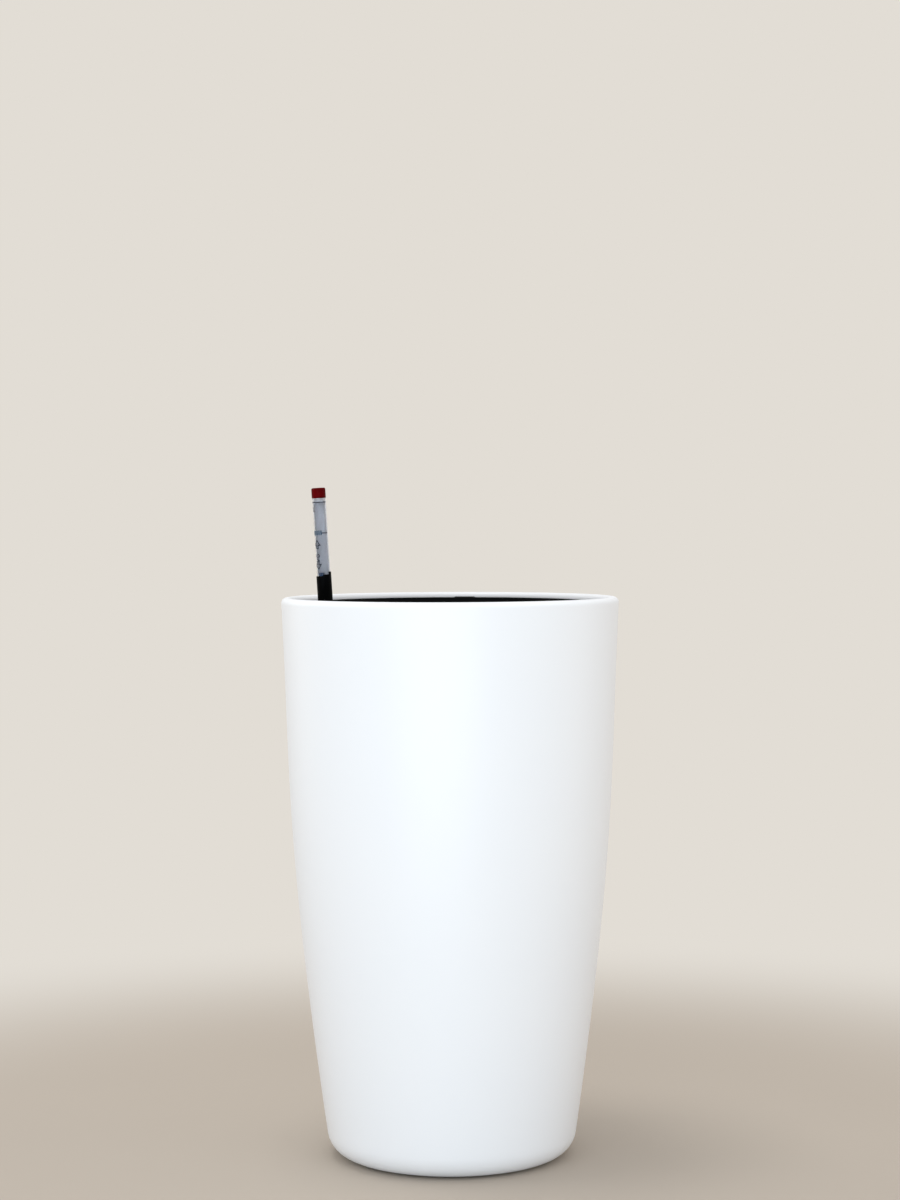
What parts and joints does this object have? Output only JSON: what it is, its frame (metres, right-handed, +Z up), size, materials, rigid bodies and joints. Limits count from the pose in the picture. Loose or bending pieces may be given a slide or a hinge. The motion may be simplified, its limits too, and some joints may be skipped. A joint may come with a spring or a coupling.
{
  "type": "self-watering planter",
  "caption": "Tall round tapered planter with a lift-out liner, folding lifting handles, a water reservoir, a filling shaft and a leaning float gauge.",
  "frame": {"origin": "middle of the footprint, on the surface that the planter stands on", "axes": "+Z up; the water gauge is at the -X side and leans towards -X; the lifting handles are towards +Y and -Y"},
  "size_m": [0.3088, 0.3088, 0.6137],
  "materials": {
    "shell_plastic": "fine satin, moulded",
    "liner_plastic": "matte, moulded",
    "gauge_black": "satin, extruded",
    "clear_plastic": "clear and glossy",
    "card_print": "printed card",
    "cap_red": "dark red, moulded",
    "stopper_plastic": "natural, moulded",
    "pointer_blue": "blue, moulded",
    "float_foam": "off-white foam and rod",
    "rubber": "matte",
    "pin_steel": "bright drawn wire"
  },
  "bodies": {
    "planter": {"outer_shell": "shell_plastic", "foot_pad_1": "rubber", "foot_pad_2": "rubber", "foot_pad_3": "rubber", "foot_pad_4": "rubber", "foot_pad_5": "rubber", "foot_pad_6": "rubber"},
    "base_seal": {"base_plug_seal": "rubber"},
    "base_plug": {"base_plug": "liner_plastic"},
    "liner": {"liner": "liner_plastic", "back_handle_pin_left": "pin_steel", "back_handle_pin_right": "pin_steel", "front_handle_pin_left": "pin_steel", "front_handle_pin_right": "pin_steel"},
    "liner_seal": {"liner_plug_seal": "rubber"},
    "liner_plug": {"liner_plug": "liner_plastic"},
    "back_handle": {"back_handle": "liner_plastic"},
    "front_handle": {"front_handle": "liner_plastic"},
    "separator": {"separator_plate": "liner_plastic", "soil_cone_1": "liner_plastic", "soil_cone_2": "liner_plastic", "soil_cone_3": "liner_plastic", "filling_shaft": "liner_plastic", "gauge_guide": "gauge_black"},
    "gauge": {"gauge_foot": "gauge_black", "gauge_sleeve": "gauge_black", "gauge_tube": "clear_plastic", "scale_card": "card_print"},
    "float": {"float": "float_foam", "float_rod": "float_foam", "level_pointer": "pointer_blue"},
    "cap": {"gauge_cap": "cap_red", "cap_stopper": "stopper_plastic"}
  },
  "joints": [
    {"name": "base_plug_travel", "type": "slide", "parent": "planter", "child": "base_seal", "axis": [0, 0, -1], "range_m": [0, 0.012]},
    {"name": "base_plug_turn", "type": "hinge", "parent": "base_seal", "child": "base_plug", "pos_m": [0, 0, 0.0055], "axis": [0, 0, -1], "range_deg": [0, 1440]},
    {"name": "liner_lift", "type": "slide", "parent": "planter", "child": "liner", "axis": [0, 0, 1], "range_m": [0, 0.325]},
    {"name": "liner_plug_travel", "type": "slide", "parent": "liner", "child": "liner_seal", "axis": [0, 0, -1], "range_m": [0, 0.012]},
    {"name": "liner_plug_turn", "type": "hinge", "parent": "liner_seal", "child": "liner_plug", "pos_m": [0, 0, 0.1975], "axis": [0, 0, -1], "range_deg": [0, 1440]},
    {"name": "back_handle_fold", "type": "hinge", "parent": "liner", "child": "back_handle", "pos_m": [0, 0.09705, 0.5056], "axis": [1, 0, 0], "range_deg": [0, 90]},
    {"name": "front_handle_fold", "type": "hinge", "parent": "liner", "child": "front_handle", "pos_m": [0, -0.09705, 0.5056], "axis": [-1, 0, 0], "range_deg": [0, 90]},
    {"name": "separator_lift", "type": "slide", "parent": "liner", "child": "separator", "axis": [0, 0, 1], "range_m": [0, 0.31]},
    {"name": "gauge_lift", "type": "slide", "parent": "separator", "child": "gauge", "axis": [-0.0598, 0, 0.9982], "range_m": [0, 0.29]},
    {"name": "float_rise", "type": "slide", "parent": "gauge", "child": "float", "axis": [-0.0598, 0, 0.9982], "range_m": [0, 0.058]},
    {"name": "cap_pull", "type": "slide", "parent": "gauge", "child": "cap", "axis": [-0.0598, 0, 0.9982], "range_m": [0, 0.02]}
  ],
  "couplings": [
    {"joint": "base_plug_travel", "follows": "base_plug_turn", "m_per_rad": 0.000477},
    {"joint": "liner_plug_travel", "follows": "liner_plug_turn", "m_per_rad": 0.000477}
  ]
}
